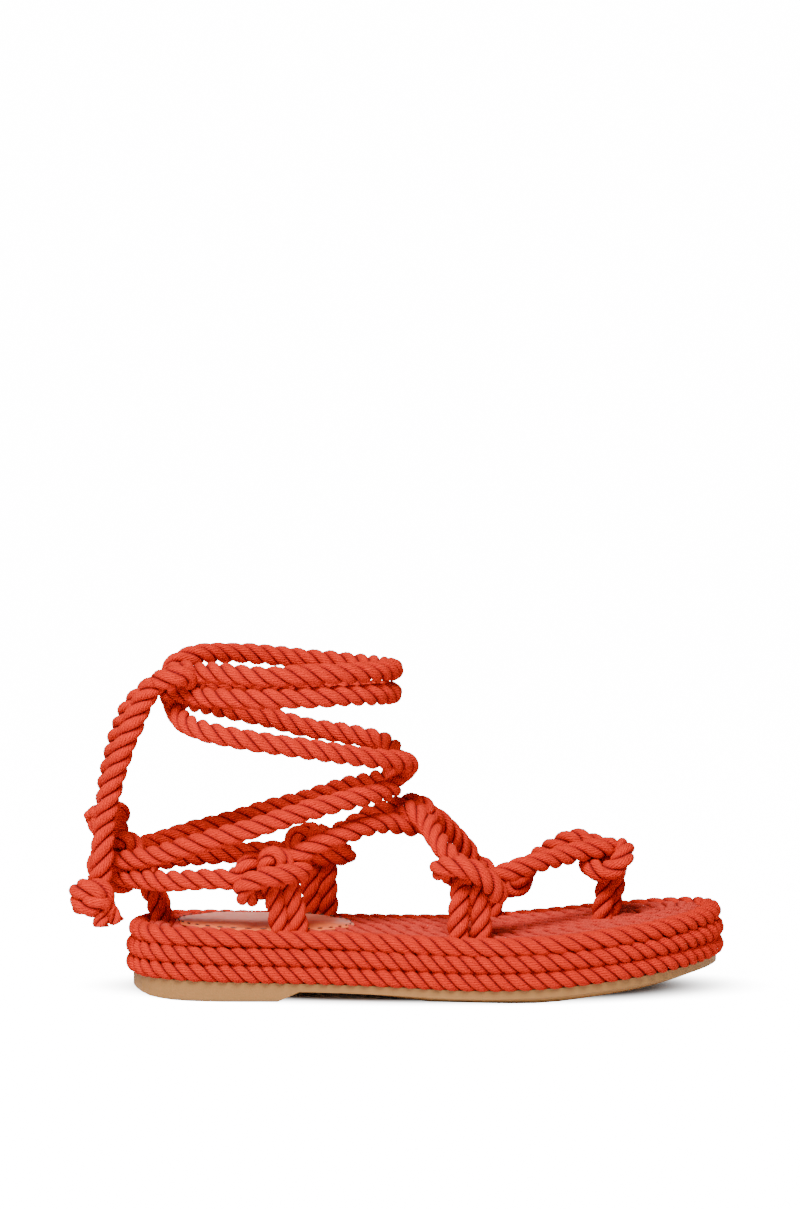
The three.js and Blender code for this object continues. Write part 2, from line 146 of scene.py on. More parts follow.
class Finish:
    """A material whose nodes are made by the expressions that use them."""

    def __init__(self, name, **constants):
        self.material = bpy.data.materials.new(name)
        self.material.use_nodes = True
        self.tree = self.material.node_tree
        self.surface = self.tree.nodes["Principled BSDF"]
        for socket, value in constants.items():
            self.surface.inputs[socket.replace("_", " ")].default_value = value

    def node(self, kind, settings, inputs, output=0):
        """Makes one node: its settings first, then the values or links of its sockets."""
        made = self.tree.nodes.new(kind)
        for setting, value in settings.items():
            setattr(made, setting, value)
        for socket, value in inputs.items():
            if isinstance(value, Value):
                self.tree.links.new(value.socket, made.inputs[socket])
            else:
                made.inputs[socket].default_value = value
        return Value(self, made.outputs[output])

    def ramp(self, value, low, high):
        """0 below low and 1 above high, with a soft step between them."""
        settings = {"interpolation_type": "SMOOTHSTEP"}
        inputs = {"Value": value, "From Min": low, "From Max": high}
        return self.node("ShaderNodeMapRange", settings, inputs)

    def mixed(self, share, colour, other):
        """One colour where share is 0, the other where it is 1. The node numbers its sockets."""
        settings = {"data_type": "RGBA", "clamp_factor": True}
        return self.node("ShaderNodeMix", settings, {0: share, 6: colour, 7: other}, output=2)

    def noise(self, coordinates, scale, detail=2.0):
        sizes = {"Vector": coordinates, "Scale": scale, "Detail": detail}
        return self.node("ShaderNodeTexNoise", {}, sizes)

    def stretched(self, coordinates, x, y):
        settings = {"operation": "MULTIPLY"}
        return self.node("ShaderNodeVectorMath", settings, {0: coordinates, 1: (x, y, 1)})

    def plan(self):
        """Coordinates of the piece itself, in metres."""
        return self.node("ShaderNodeTexCoord", {}, {}, output="Object")

    def part_of(self, coordinates, letter):
        return self.node("ShaderNodeSeparateXYZ", {}, {"Vector": coordinates}, output=letter)

    def wear(self, **sockets):
        """Feeds the sockets of the surface shader, and gives back the material."""
        for socket, value in sockets.items():
            self.tree.links.new(value.socket, self.surface.inputs[socket.replace("_", " ")])
        return self.material

    def bump(self, height, distance):
        """Height in shares of distance, which is in millimetres."""
        inputs = {"Strength": 1.0, "Distance": distance * MM, "Height": height}
        return self.node("ShaderNodeBump", {}, inputs)


# %% [markdown]
# ## Cotton rope: the finish
#
# Three strands wind round each other, and the yarns in each strand wind the other way, so on the
# rope's surface the yarns run nearly along the rope. The rope meshes carry two sets of surface
# coordinates for this: "yarn" holds the distance along the rope and round it, and "strand" follows
# one strand as it winds. A third attribute, "crown", is 1 on a strand's back and 0 in a groove.
# The colour darkens towards each groove as painted shade, and rubbing bleaches the backs a little.
# The bed, where the foot treads, is paler and dustier than the rest.

# %% Cotton finish
# In both tables the first tone is painted shade, the colour at the bottom of a groove.
COTTON = {
    "painted_groove_shade": (0.14, 0.011, 0.016, 1),
    "dyed": (0.84, 0.022, 0.009, 1),
    "rubbed": (0.98, 0.038, 0.011, 1),
}
TRODDEN = {
    "painted_groove_shade": (0.20, 0.015, 0.016, 1),
    "dyed": (0.74, 0.030, 0.018, 1),
    "rubbed": (0.98, 0.085, 0.058, 1),
}
YARN_PITCH = 1.2


def cotton_finish(name, tones):
    finish = Finish(
        name,
        Roughness=0.9,
        Specular_IOR_Level=0.05,
        Sheen_Weight=0.06,
        Sheen_Roughness=0.45,
        Sheen_Tint=(1, 0.3, 0.15, 1),
    )
    yarn = finish.node("ShaderNodeUVMap", {"uv_map": "yarn"}, {})
    strand = finish.node("ShaderNodeUVMap", {"uv_map": "strand"}, {})
    crown = finish.node("ShaderNodeAttribute", {"attribute_name": "crown"}, {}, output="Fac")
    sway = finish.noise(finish.stretched(yarn, 1.0, 2.2), 0.35)
    across = finish.part_of(yarn, "Y")
    phase = (across + sway * 1.1) * (2 * math.pi / YARN_PITCH)
    ridges = finish.node("ShaderNodeMath", {"operation": "SINE"}, {0: phase}) * 0.5 + 0.5
    lint = finish.noise(finish.stretched(yarn, 0.9, 3.2), 1.6, detail=6.0)
    patches = finish.noise(finish.stretched(strand, 0.12, 0.45), 1.0)
    worn = finish.ramp(crown * 0.75 + lint * 0.35 + patches * 0.35, 0.55, 1.2)
    # Painted shade: the colour darkens towards each groove, and a little between the yarns.
    clear_of_groove_shade = finish.ramp(crown + ridges * 0.12 + lint * 0.2, 0.02, 0.85)
    bright = finish.mixed(worn * 0.8, tones["dyed"], tones["rubbed"])
    shaded = finish.mixed(clear_of_groove_shade * (0.7 + ridges * 0.3), tones["painted_groove_shade"], bright)
    relief = finish.bump(ridges * 0.6 + lint * 0.9, 0.7)
    return finish.wear(Base_Color=shaded, Normal=relief)


cotton = cotton_finish("dyed_cotton", COTTON)
trodden_cotton = cotton_finish("trodden_cotton", TRODDEN)
print("cotton finish with", len(cotton.node_tree.nodes), "nodes")

# %% [markdown]
# ## Smooth lines
#
# A rope never kinks, so a route that is chosen as a few points becomes a smooth curve first. The
# centripetal curve through the points stays close to them and makes no loops of its own. It is then
# cut into equal steps, so that the strands wind at an even pace.

# %% Smooth lines
CURVE_PARTS = 24


def smooth_line(points, step, closed=False):
    """A centripetal curve through the points, in equal steps of about that many millimetres."""
    p = np.asarray(points, float)
    if closed:
        p = np.concatenate([p[-1:], p, p[:2]])
    else:
        p = np.concatenate([2 * p[:1] - p[1:2], p, 2 * p[-1:] - p[-2:-1]])
    knots = np.concatenate([[0], np.cumsum(np.sqrt(np.linalg.norm(np.diff(p, axis=0), axis=1)))])
    pieces = []
    for i in range(1, len(p) - 2):
        t0, t1, t2, t3 = knots[i - 1 : i + 3]
        t = np.linspace(t1, t2, CURVE_PARTS, endpoint=False)[:, None]
        a1 = (t1 - t) / (t1 - t0) * p[i - 1] + (t - t0) / (t1 - t0) * p[i]
        a2 = (t2 - t) / (t2 - t1) * p[i] + (t - t1) / (t2 - t1) * p[i + 1]
        a3 = (t3 - t) / (t3 - t2) * p[i + 1] + (t - t2) / (t3 - t2) * p[i + 2]
        b1 = (t2 - t) / (t2 - t0) * a1 + (t - t0) / (t2 - t0) * a2
        b2 = (t3 - t) / (t3 - t1) * a2 + (t - t1) / (t3 - t1) * a3
        pieces.append((t2 - t) / (t2 - t1) * b1 + (t - t1) / (t2 - t1) * b2)
    pieces.append(p[-2][None])
    return even_steps(np.concatenate(pieces), step)


def even_steps(line, step):
    """The same line with its points at equal distances."""
    along = np.concatenate([[0], np.cumsum(np.linalg.norm(np.diff(line, axis=0), axis=1))])
    at = np.linspace(0, along[-1], max(round(along[-1] / step), 4) + 1)
    return np.stack([np.interp(at, along, line[:, k]) for k in range(3)], axis=1)


def line_length(line):
    return float(np.linalg.norm(np.diff(line, axis=0), axis=1).sum())


# %% [markdown]
# ## The rope's section
#
# A rope could be three separate tubes, but their hidden sides would waste faces. One skin is enough:
# a section with three round lobes is swept along the line and turned as it goes, one full turn for
# each lay length. The lobes then read as strands, and the valleys between them as grooves. The rope
# twists to the right, so the grooves of a level rope fall towards the right.

# %% Rope section
LOBE_ANGLES = np.array([-60, -55, -46, -32, -12, 12, 32, 46, 55])
LOBE_MIDDLE = 0.4
GROOVE_CUT = 0.12

away = np.abs(LOBE_ANGLES) / 60
lobe_turn = np.radians(LOBE_ANGLES)
lobe_depth = np.sqrt((1 - LOBE_MIDDLE) ** 2 - (LOBE_MIDDLE * np.sin(lobe_turn)) ** 2)
lobe = LOBE_MIDDLE * np.cos(lobe_turn) + lobe_depth
SECTION_ANGLES = np.radians(np.concatenate([LOBE_ANGLES + turn for turn in (60, 180, 300)]))
SECTION_REACH = np.tile(lobe - GROOVE_CUT * away**7, 3)
# The crown also sets where the painted shade of the grooves falls.
SECTION_CROWN = np.tile(1 - away**3, 3)
print("points round the rope:", len(SECTION_ANGLES))

# %% [markdown]
# ## Directions along a rope
#
# To sweep a section, each point of the line needs two directions square to it. If they were chosen
# afresh at each point they could flip over and tear the strands, so in a free rope each pair is
# carried on from the one before. Rope in the sole lies level, and there one of the two looks up.

# %% Directions along a line


def unit(vectors):
    return vectors / np.linalg.norm(vectors, axis=-1, keepdims=True)


def directions(line, closed):
    """Which way the line runs at each of its points."""
    if closed:
        return unit(np.roll(line, -1, axis=0) - np.roll(line, 1, axis=0))
    return unit(np.gradient(line, axis=0))


def carried_frames(line, closed):
    """Two directions square to the line that turn with it and never flip."""
    along = directions(line, closed)
    side = np.empty_like(line)
    start = np.cross(along[0], UP if abs(along[0][2]) < 0.9 else [0.0, 1.0, 0.0])
    side[0] = unit(start)
    for i in range(1, len(line)):
        moved = side[i - 1] - along[i] * np.dot(side[i - 1], along[i])
        side[i] = unit(moved)
    return along, side, np.cross(along, side)


def level_frames(line, closed):
    """Frames that stay upright, for rope that lies in the sole."""
    along = directions(line, closed)
    side = unit(np.cross(along, UP))
    return along, side, np.cross(along, side)


# %% [markdown]
# ## From points to a piece
#
# Each mesh is made from a list of points and a list of faces, so every point lies where the sizes
# put it. A rope's skin is a tube through rings of points. It also gets the surface coordinates that
# the cotton finish reads, which is easiest while it is known which ring each corner belongs to.

# %% Pieces and rope skins


def piece_from(name, points, faces, material):
    """A smoothly shaded mesh, as an object in the scene."""
    mesh = bpy.data.meshes.new(name)
    mesh.from_pydata(points, [], faces)
    mesh.polygons.foreach_set("use_smooth", np.ones(len(faces), bool))
    mesh.materials.append(material)
    mesh.update()
    piece = bpy.data.objects.new(name, mesh)
    bpy.context.scene.collection.objects.link(piece)
    return piece


def rope_skin(name, rings, coordinates, crown, closed, material):
    """A tube through rings of points, with capped ends unless it is closed."""
    count, sides = rings.shape[:2]
    spans = count if closed else count - 1
    i, j = np.meshgrid(np.arange(spans), np.arange(sides), indexing="ij")
    low = i * sides
    high = (i + 1) % count * sides
    beside = (j + 1) % sides
    quads = np.stack([low + j, low + beside, high + beside, high + j], axis=-1)
    faces = quads.reshape(-1, 4).tolist()
    if not closed:
        faces.append(list(range(sides))[::-1])
        faces.append([(count - 1) * sides + k for k in range(sides)])
    piece = piece_from(name, metres(rings.reshape(-1, 3)).tolist(), faces, material)
    corner_i = np.stack([i, i, i + 1, i + 1], axis=-1).reshape(-1)
    corner_j = np.stack([j, j + 1, j + 1, j], axis=-1).reshape(-1)
    for layer_name, table in coordinates.items():
        layer = piece.data.uv_layers.new(name=layer_name)
        values = np.zeros((len(piece.data.loops), 2), np.float32)
        values[: len(corner_i)] = table[corner_i, corner_j]
        layer.data.foreach_set("uv", values.ravel())
    attribute = piece.data.attributes.new("crown", "FLOAT", "POINT")
    attribute.data.foreach_set("value", crown.ravel().astype(np.float32))
    return piece


# %% [markdown]
# ## The laid rope
#
# No rope is laid quite evenly, so the turn of the strands wanders a little and the rope swells and
# thins, both slowly. In a closed ring the turns are rounded to thirds, because then a strand meets
# a strand where the ring closes, and the drift fades out there. Rope in the sole is pressed by the
# rows below and above it, and little light reaches the seam between two rows, so the crown is
# lowered there, which darkens the seam's colour as painted shade.

# %% The laid rope
WANDER = 0.1
WANDER_SPAN = 12
SWELL = 0.02
SWELL_SPAN = 7
SWELL_SEED = 50
CLOSING_RATE = 12
# Painted shade at the seams between rows of the sole: where it starts, how soft it is, how strong.
CREASE_RISE = 3.1
CREASE_SOFT = 0.6
CREASE_SHADE = 0.5
UNPRESSED = 0.8


def slow_drift(count, size, stretch, seed):
    """Slow random drift along a rope, the same on each run."""
    draws = np.random.default_rng(seed).normal(size=max(count // stretch, 1) + 4)
    at = np.linspace(1, len(draws) - 2, count)
    return size * np.interp(at, np.arange(len(draws)), draws)


def pressed(rise, flat):
    """Heights on a rope that flattens softly towards a neighbour at the height flat."""
    free = UNPRESSED * flat
    over = np.maximum(rise - free, 0)
    return np.minimum(rise, free) + (flat - free) * (1 - np.exp(-over / (flat - free)))


class LaidRope:
    """The skin of a three-strand rope along a line in millimetres, whole or cut into lengths.

    flats holds the heights of the neighbours below and above that press it, and creases the ways,
    -1 for down and 1 for up, in which painted seam shade darkens it. fullness may hold a value for
    each point.
    """

    def __init__(
        self,
        line,
        seed,
        closed=False,
        flats=None,
        tip=LOBE_TIP,
        lay=LAY_LENGTH,
        fullness=1.0,
        creases=(),
    ):
        self.closed = closed
        self.creases = creases
        self.tip = tip
        self.fullness = fullness * np.ones(len(line))
        self.lay = lay * tip / LOBE_TIP
        self.line = line[:-1] if closed else line
        self.step = line_length(line) / (len(line) - 1)
        self.rings, self.turn = self.wind(flats, seed)

    def wind(self, flats, seed):
        line, closed, count = self.line, self.closed, len(self.line)
        along, side, rise = (level_frames if flats else carried_frames)(line, closed)
        turns = count * self.step / self.lay
        if closed:
            carried = side[-1] - along[0] * np.dot(side[-1], along[0])
            slip = math.atan2(np.dot(carried, rise[0]), np.dot(carried, side[0]))
            turns = round(3 * turns) / 3 - slip / (2 * math.pi)
        share = np.arange(count) / (count if closed else count - 1)
        wander = slow_drift(count, WANDER, round(WANDER_SPAN / self.step), seed)
        swell = slow_drift(count, SWELL, round(SWELL_SPAN / self.step), seed + SWELL_SEED)
        if closed:
            fade = np.minimum(1, np.minimum(share, 1 - share) * CLOSING_RATE)
            wander = wander * fade
            swell = swell * fade
        turn = 2 * math.pi * turns * share + wander
        angle = SECTION_ANGLES[None] + turn[:, None]
        width = self.tip * self.fullness[:count] * (1 + swell)
        reach = SECTION_REACH[None] * width[:, None]
        across = reach * np.cos(angle)
        upward = reach * np.sin(angle)
        self.crown = SECTION_CROWN[None] + 0 * angle
        # Painted shade: the crown, and so the colour, is lowered towards a seam with a neighbour.
        for way in self.creases:
            near = np.clip((way * upward - CREASE_RISE) / CREASE_SOFT, 0, 1)
            self.crown *= 1 - CREASE_SHADE * near
        if flats:
            below, above = flats
            upward = np.where(upward < 0, -pressed(-upward, below), pressed(upward, above))
        rings = line[:, None] + across[..., None] * side[:, None] + upward[..., None] * rise[:, None]
        return rings, turn

    def piece(self, name, first=0, last=None, finish=cotton):
        """A mesh of the whole rope, or of the length between two of its rings."""
        rings = self.rings[first:last]
        count = len(rings)
        around = np.append(SECTION_ANGLES, SECTION_ANGLES[0] + 2 * math.pi)[None]
        turn = self.turn[first:last]
        turn = np.append(turn, 2 * turn[-1] - turn[-2])[:, None]
        distance = (first + np.arange(count + 1) * self.step)[:, None] + 0 * around
        coordinates = {
            "yarn": np.stack([distance, (around + turn) * self.tip], axis=-1),
            "strand": np.stack([distance, around * self.tip + 0 * distance], axis=-1),
        }
        return rope_skin(name, rings, coordinates, self.crown[first:last], self.closed, finish)


# %% [markdown]
# ## Where the sole lies
#
# The ropes of the upper stand in the sole, so its shape comes before them. The plan outline is a
# table in percent of the length and of half the ball's width, with the outer side negative. The
# side profile is a second table: it holds shares of the heel's drop and of the toe's spring.

# %% Sole outline and profile
OUTLINE_STEP = 1.0
OUTLINE = [
    (0, 0), (1, -26), (3.4, -49), (7.6, -65), (14.5, -75), (23.7, -76), (34.4, -77), (43.9, -83),
    (53.4, -92), (62.2, -99), (70.6, -100), (78.2, -93), (85.5, -78), (91.6, -55), (96.2, -27),
    (98.9, 0), (100, 28), (99, 57), (96.2, 78), (91.6, 92), (84.7, 101), (76.3, 102), (68.7, 96),
    (61.1, 86), (53.4, 75), (44.7, 66), (34.4, 63), (23.7, 68), (14.5, 71), (7.6, 64), (3.4, 49),
    (1, 26),
]
PROFILE = np.array([
    # along, heel drop, toe spring
    (0, 1, 0), (0.02, 0.99, 0), (0.04, 0.97, 0), (0.065, 0.96, 0), (0.09, 0.94, 0),
    (0.15, 0.84, 0), (0.254, 0.64, 0), (0.29, 0.58, 0), (0.36, 0.47, 0), (0.46, 0.25, 0),
    (0.53, 0.06, 0), (0.58, 0, 0.01), (0.63, 0, 0.04), (0.71, 0, 0.16), (0.78, 0, 0.34),
    (0.86, 0, 0.56), (0.935, 0, 0.78), (1, 0, 1),
])
HEEL, TOE = 1, 2


def profile(column, x):
    return np.interp(np.asarray(x, float) / SOLE_LENGTH, PROFILE[:, 0], PROFILE[:, column])


def seat_height(x):
    """Height of the rope stack's underside over the floor."""
    return FOREFOOT_SEAT + HEEL_DROP * profile(HEEL, x) + TOE_SPRING * profile(TOE, x)


def bed_height(x):
    return seat_height(x) + ROW_COUNT * ROW_PITCH - BED_DROP


corners = [(a / 100 * SOLE_LENGTH, b / 100 * HALF_BALL, 0) for a, b in OUTLINE]
outline = smooth_line(corners, OUTLINE_STEP, closed=True)
print("way round the sole:", round(line_length(outline)), "mm")

# %% [markdown]
# ## The routes of the ropes
#
# Each row is a place that a rope passes: percent of the sole's length, percent of half the ball's
# width, and percent of the tie's rise above the bed. FOOT marks a row that stands in the sole. The
# hanging ends and their knots come first, because they are laid first.

# %% Rope routes
FOOT = None
ROUTE_STEP = 1.0

ROUTES = {
    "stopper_lateral": [
        (-4.8, -30, 13), (-6, -27, 10.4), (-7.3, -31, 10.7), (-7.5, -40, 13.2), (-6.8, -48, 14.8),
        (-5.2, -52, 15.4), (-3.9, -49, 14.1), (-3.7, -40, 10.8), (-5, -32, 8), (-6.5, -30, 7.5),
        (-7.4, -36, 9), (-7, -45, 9.5), (-5.8, -50, 9.4), (-4.6, -51, 10.3), (-3.8, -47, 10.1),
        (-3.5, -43, 7.9), (-3.3, -42, 5.2),
    ],
    "stopper_medial": [
        (-3.7, 24, 37.6), (-3.3, 30, 34.5), (-2, 24, 34), (-2.1, 14, 35.7), (-3.6, 11, 36.5),
        (-4.9, 18, 36.9), (-4.9, 29, 37.3), (-3.4, 32, 38.2), (-1.9, 25, 39.9), (-1.8, 15, 41.6),
        (-3.4, 11, 42.6), (-4.8, 18, 41.8), (-4.9, 26, 40.4),
    ],
    "knot_front": [
        (10.4, -20, 94), (11, -33, 96.1), (10.3, -45, 98.1), (8.8, -51, 98.3), (7.2, -50, 97.5),
    ],
    "knot_behind": [
        (9.2, -24, 99.4), (7.4, -16, 97.6),
    ],
    "tie_tail_lateral": [
        (5.6, -46, 95.8), (4.6, -44, 93.8), (3.6, -42, 90.2), (2.7, -41, 86.3), (1.8, -40, 81.9),
        (1, -39, 77.2), (0.1, -38, 72.5), (-0.7, -36, 66.9), (-1.5, -34, 61.4), (-2.2, -32, 55.4),
        (-2.8, -31, 49.5), (-3.3, -31, 43.2), (-3.7, -32, 37), (-3.8, -34, 31.2),
        (-3.9, -36, 25.5), (-4.2, -37, 20), (-4.6, -36, 16.1),
    ],
    "tie_tail_medial": [
        (5.8, -15, 94.6), (4.3, -16, 92.7), (3, -16, 90.3), (1.7, -14, 87.1), (0.4, -11, 83),
        (-0.4, -6, 78.5), (-1.2, -1, 74), (-1.8, 4, 69), (-2.4, 9, 64.1), (-2.9, 13, 59.1),
        (-3.3, 17, 54.2), (-3.5, 19, 49.7), (-3.7, 21, 45.7), (-3.9, 22, 42.4), (-3.9, 22, 40.1),
    ],
    "front_rope": [
        (55.7, 58, 11.4), (58.2, 53, 10.5), (59.4, 60, 13.3), (58.2, 63, 17.5), (57.4, 58, 22.6),
        (55.8, 49, 28.3), (53.9, 38, 33.7), (51.9, 26, 38.7), (49.7, 15, 42), (46.8, 4, 43.3),
        (48.1, -9, 42.9), (50, -22, 39.7), (51.5, -41, 35.3), (53.1, -59, 30.8), (55.3, -68, 26.2),
        (58, -64, 21.6), (60.6, -62, 17), (61.7, -73, 14.6), (60.5, -87, 20.2), (57.4, -92, 25.2),
        (54.2, -87, 26.4), (52.2, -75, 24.6), (53.8, -59, 21.7), (57.2, -55, 18.7),
        (59.9, -60, 19.4), (62.4, -57, 21.2), (65.5, -48, 23.4), (68.9, -36, 25.1),
        (72.3, -22, 26.3), (75.9, -11, 28), (79.1, -5, 28.9), (81.2, 6, 27.9), (81.4, 20, 24.7),
        (80.1, 27, 21.5), (78.2, 20, 21.1), (77.4, 6, 21.9), (77.9, -9, 21.2), (79.6, -14, 19.9),
        (81.8, -14, 21.9), (83.1, -8, 25.9), (83.2, 5, 27.9), (82, 18, 27.6), (79.7, 26, 27.9),
        (77.4, 28, 29.4), (74.9, 31, 30.5), (72.4, 36, 27.8), (69.7, 46, 23.3), (67.1, 60, 16.5),
        (65.9, 71, 9), (63.2, 81, 8.8), (59.3, 84, 13.5), (55.9, 76, 15.5), (55.2, 62, 11.9),
    ],
    "rear_rope": [
        (-1.1, 11, 20.5), (-2.1, -2, 19.6), (0, -13, 17.9), (3.3, -29, 18), (7, -43, 18),
        (10.4, -53, 19), (14.6, -60, 19.8), (17.5, -62, 19.9), (19.2, -63, 21.5),
        (20.2, -60, 24.9), (21.3, -53, 26.4), (22.4, -46, 23.3), (22.9, -44, 16.9),
        (21.6, -50, 13.4), (20.2, -61, 13.2), (19.9, -70, 17.3), (21.3, -75, 19.9),
        (24.1, -77, 21.6), (27.2, -72, 22.4), (29.6, -57, 22.4), (27.6, -43, 20.8),
        (24.4, -40, 22.2), (23.4, -43, 25.5), (25.3, -47, 27.3), (28.4, -55, 28.9),
        (32.8, -52, 33.5), (37, -43, 36.9), (41.2, -29, 39.3), (43.9, -18, 39.3), (46.6, -9, 37.9),
        (49.2, 2, 37.5), (50.4, 13, 41.1), (48.7, 21, 45.1), (46.6, 24, 44.6), (44.7, 28, 43.1),
        (41.4, 39, 40.2), (37, 48, 34.4), (33.6, 53, 30.4), (30.5, 58, 31.7), (27.9, 53, 29.9),
        (29, 41, 25), (33.2, 39, 23.2), (36.6, 50, 23.2), (34.4, 67, 23.2), (30.2, 71, 23.2),
        (26.7, 65, 24.1), (23.2, 62, 24), (16.6, 61, 23.2), (9.8, 53, 22.5), (4.9, 39, 21.6),
        (0.8, 20, 21.1), (-3.1, 7, 20.5), (-3.8, -4, 21.4),
    ],
    "toe_loop": [
        (79.2, 3, FOOT), (79.8, 3, 7.1), (80.2, 4, 14.3), (80, 7, 22.3), (80.8, 10, 26.3),
        (81.7, 11, 22.3), (81.8, 12, 14.3), (81.3, 14, 7.1), (80.8, 14, FOOT),
    ],
    "front_lateral_loop": [
        (55.2, -74, FOOT), (55.3, -74, 7.8), (55.5, -73, 13.2), (56, -69, 17.6), (57.2, -66, 20.5),
        (58.2, -68, 17.5), (58.7, -72, 13.1), (59, -73, 7.7), (59, -73, FOOT),
    ],
    "front_medial_loop": [
        (57.6, 67, FOOT), (57.6, 67, 7), (58.1, 67, 13), (59.4, 67, 18), (60.7, 67, 13),
        (61.4, 67, 7), (61.5, 67, FOOT),
    ],
    "rear_lateral_loop": [
        (26, -58, FOOT), (25.3, -58, 7.6), (24.5, -59, 15.5), (23.8, -61, 21.8), (23.7, -63, 27),
        (24.7, -64, 29.4), (26, -64, 28.2), (26.8, -61, 22.6), (27.4, -57, 16.1), (28.3, -56, 8.2),
        (28.9, -55, FOOT),
    ],
    "rear_medial_loop": [
        (30.9, 50, FOOT), (30.7, 50, 3), (30.5, 50, 9.8), (30.5, 51, 17), (30.9, 51, 24.2),
        (32, 51, 32.2), (33, 51, 29), (33.3, 51, 17), (33.3, 50, 9.8), (33.4, 50, 3),
        (33.5, 50, FOOT),
    ],
    "heel_loop": [
        (5.8, 6, FOOT), (4.8, 5, 6.5), (3.5, 4, 12.5), (1.8, 3, 16.2), (-0.2, 1, 15.1),
        (-2.3, 0, 14.4), (-4.2, 0, 17.1), (-5.2, 2, 23.3), (-3.3, 4, 29.5), (-0.3, 7, 31.4),
        (1.5, 9, 26.9), (2.4, 12, 20), (3.9, 16, 13), (5.2, 21, 5.6), (6.2, 25, FOOT),
    ],
    "inner_tie": [
        (-3.2, 2, 22.3), (-1.7, -10, 23.7), (1.3, -24, 25.4), (5.9, -41, 28.3), (10.3, -54, 32),
        (14.7, -63, 35.5), (19.1, -68, 38.4), (24.2, -70, 42.2), (30.2, -66, 46.6),
        (36.5, -55, 50), (41.4, -36, 51.8), (44.3, -11, 53.1), (45, 9, 58.5), (44.8, 26, 64.7),
        (42.6, 43, 68.6), (36.3, 62, 71.1), (29.8, 68, 73.2), (23, 70, 77.2), (15.5, 62, 81.1),
        (11.2, 42, 84.4), (8.4, 20, 86.9), (7.1, -2, 88.7), (9.2, -22, 90.4), (13, -38, 89.6),
        (17.7, -57, 89.7), (23.9, -68, 90.2), (30.3, -68, 90.5), (36.6, -59, 90.9),
        (41.6, -39, 90.6), (44.3, 0, 89.7), (41.6, 39, 90), (36.3, 61, 90.4), (29.8, 68, 90.9),
        (23.1, 67, 91.3), (17, 55, 91.1), (12.6, 34, 90.6), (9.9, 11, 93.3), (9.2, -7, 95.5),
    ],
    "outer_tie": [
        (-1, -4, 23.2), (-1.5, 8, 23.7), (0.8, 26, 26.6), (4.8, 45, 28.7), (9.7, 59, 31.9),
        (16.6, 67, 35.6), (23.1, 70, 40.2), (29.8, 67, 44.5), (36.3, 57, 49.9), (41.8, 34, 53.6),
        (45.4, 12, 57.1), (47.1, -7, 61.6), (45.8, -26, 64), (42.7, -43, 65.5), (36.6, -60, 68.2),
        (30.2, -67, 70.8), (23.9, -70, 73), (17.6, -67, 75.4), (14.7, -63, 76.7),
        (11.9, -52, 78.2), (9.8, -37, 79.9), (8.5, -20, 82.7), (7.7, 0, 86.1), (6.7, 17, 91.7),
        (7.6, 28, 99.4), (10.7, 34, 103), (17, 58, 103.2), (21.8, 67, 102.4), (29.8, 70, 100.4),
        (37, 59, 99.4), (42, 37, 98.9), (44.5, 0, 98.9), (42, -38, 99.5), (36.6, -61, 99.8),
        (30.3, -70, 99.6), (23.9, -68, 98.6), (19.3, -61, 99.1), (14.7, -46, 99.5),
        (11.7, -33, 98.8),
    ],
}


def place(row):
    """A row of a route, in millimetres."""
    along, across, up = row
    x = along / 100 * SOLE_LENGTH
    z = bed_height(x) - LEG_DEPTH if up is FOOT else bed_height(0) + up / 100 * TIE_RISE
    return np.array([x, across / 100 * HALF_BALL, z])


def route_line(rows):
    return smooth_line([place(row) for row in rows], ROUTE_STEP)


def dress(piece, slot, *nodes):
    """Ties a finished piece to the frame."""
    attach(piece, "root")
    if nodes:
        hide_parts(*nodes)
    print(piece.name, "has", len(piece.data.polygons), "faces")
    return piece


# %% [markdown]
# ## The ankle ties, their knots and the hanging ends
#
# Two long ropes wind up the ankle. Behind it they are knotted: one comes forward through the gap
# between the windings and falls over the knot's front, the other passes behind it. Both then hang
# down to a stopper knot, below which the cut end opens into its three strands. Each rope is laid in
# one go, so that its strands run on through both knots, and is then cut into the lengths that the
# frame knows. A hanging end carries no load, so its strands are a little looser and it is thicker.

# %% Joining, and cut ends
STRAND_TIP = 3.6
STRAND_STEP = 0.6
FRAY_LENGTH = 6.5
FRAY_SPREAD = 4.4
FRAY_ROWS = [
    # along, outwards
    (-0.3, 0.5), (0, 0.62), (0.35, 0.85), (0.7, 1),
]


def joined(name, pieces):
    """Several meshes as one piece."""
    with bpy.context.temp_override(active_object=pieces[0], selected_editable_objects=pieces):
        bpy.ops.object.join()
    pieces[0].name = name
    pieces[0].data.name = name
    return pieces[0]


def frayed_strands(rope, name, seed):
    """The three strands of a cut end, each a little apart from the others."""
    end = rope.line[-1]
    ahead = unit(end - rope.line[-4])
    side = unit(np.cross(ahead, UP))
    rise = np.cross(side, ahead)
    strands = []
    for k in range(3):
        turn = rope.turn[-1] + 2 * math.pi * k / 3
        out = side * math.cos(turn) + rise * math.sin(turn)
        points = [end + ahead * FRAY_LENGTH * a + out * FRAY_SPREAD * b for a, b in FRAY_ROWS]
        strand = LaidRope(smooth_line(points, STRAND_STEP), seed=seed + k, tip=STRAND_TIP)
        strands.append(strand.piece(name + str(k)))
    return strands


# %% Ties, knots and hanging ends
TAIL_FULLER = 0.09
FULLER_WITHIN = 25
TIE_SEED = 20
STRAND_SEED = 90


def nearest(line, row):
    """Which point of a line lies nearest to a row of its route."""
    return int(np.linalg.norm(line - place(row), axis=1).argmin())


